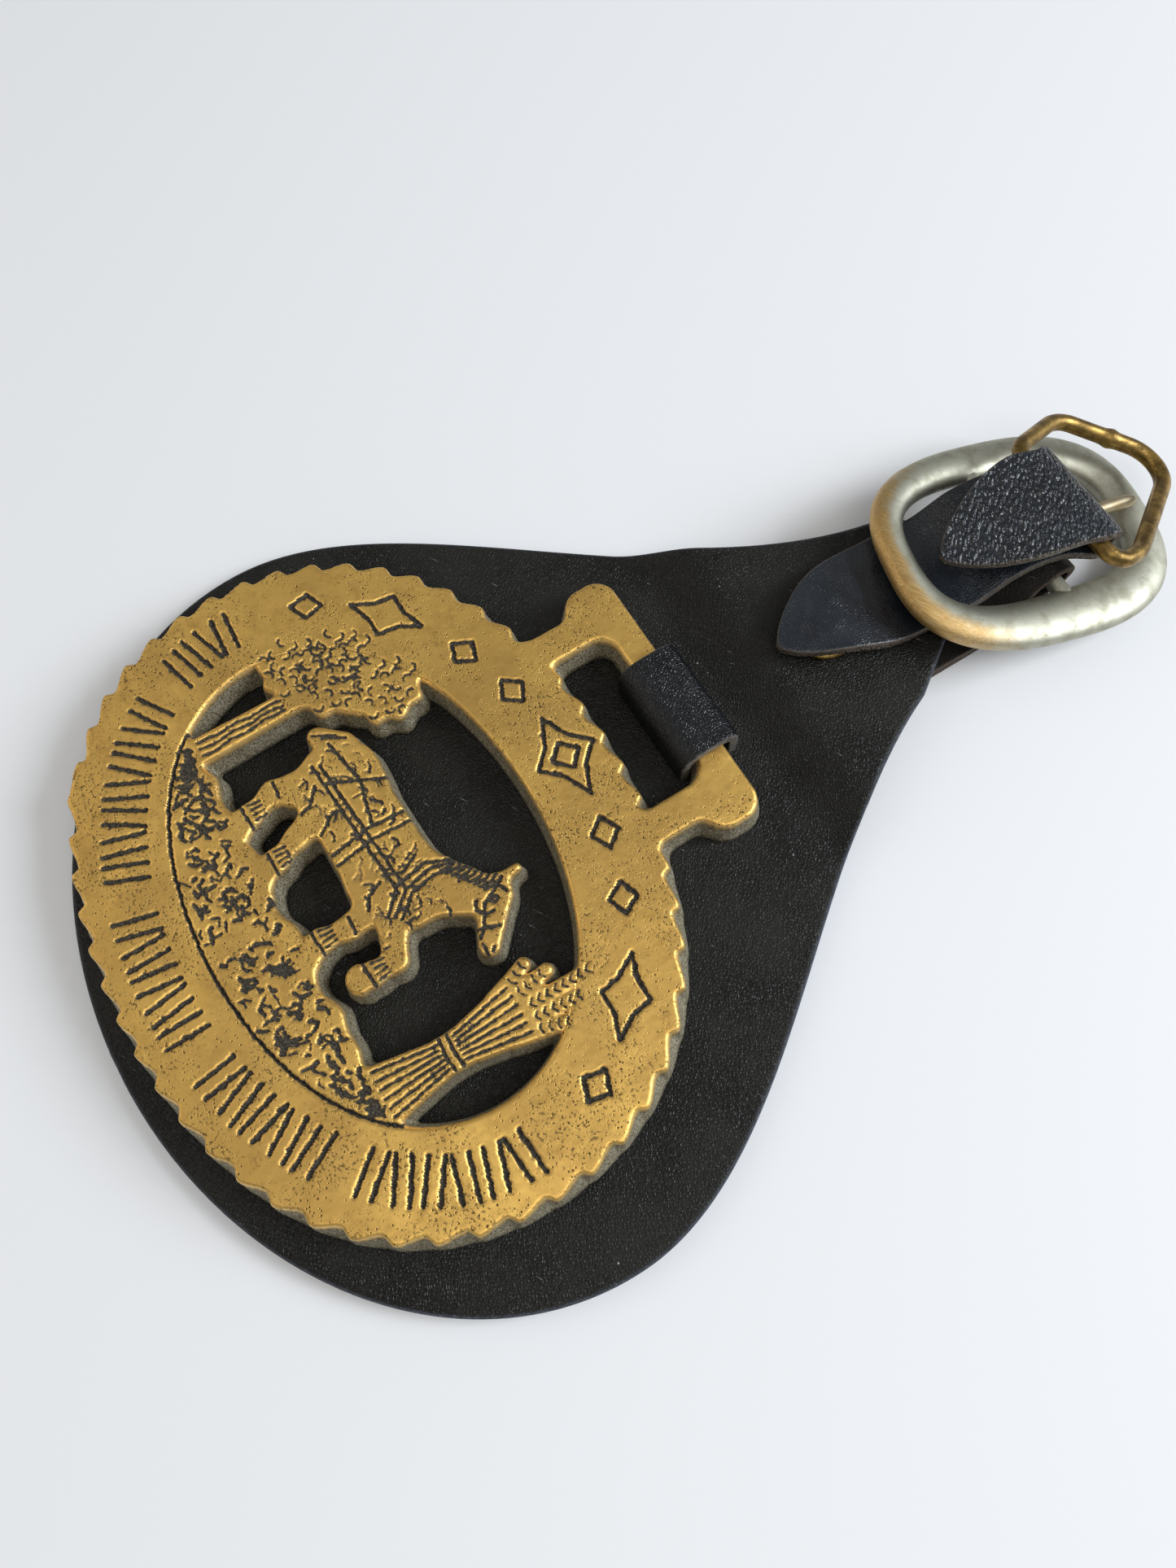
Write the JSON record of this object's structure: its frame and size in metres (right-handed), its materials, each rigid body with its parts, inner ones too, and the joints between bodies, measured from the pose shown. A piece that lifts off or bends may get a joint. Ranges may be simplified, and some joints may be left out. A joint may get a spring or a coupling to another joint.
{
  "type": "horse brass",
  "caption": "Cast oval brass with a pierced horse scene and notched rim, banded to a pear-shaped leather hanger with an oval buckle, a pointed strap and a wire loop.",
  "frame": {"origin": "on the surface it lies on, under the middle of the bounding box", "axes": "+Y up the hanger from the brass to the wire loop, +X to the right, +Z out of the brass's face"},
  "size_m": [0.0972, 0.1454, 0.0152],
  "materials": {
    "leather": "black harness leather, worn satin",
    "brass": "old cast brass, satin on the face and dark in the grooves",
    "nickel": "worn nickel plate, warm where it is rubbed through",
    "grained_leather": "black leather with an open grain and raw brown edges",
    "wire": "dark aged brass wire"
  },
  "bodies": {
    "root": {"backplate": "leather", "brass_plate": "brass", "hanging_loop": "leather", "buckle_frame": "nickel", "tongue": "nickel", "buckle_strap": "leather", "pointed_strap": "grained_leather", "wire_loop": "wire", "neck_rivet": "brass"}
  },
  "joints": []
}
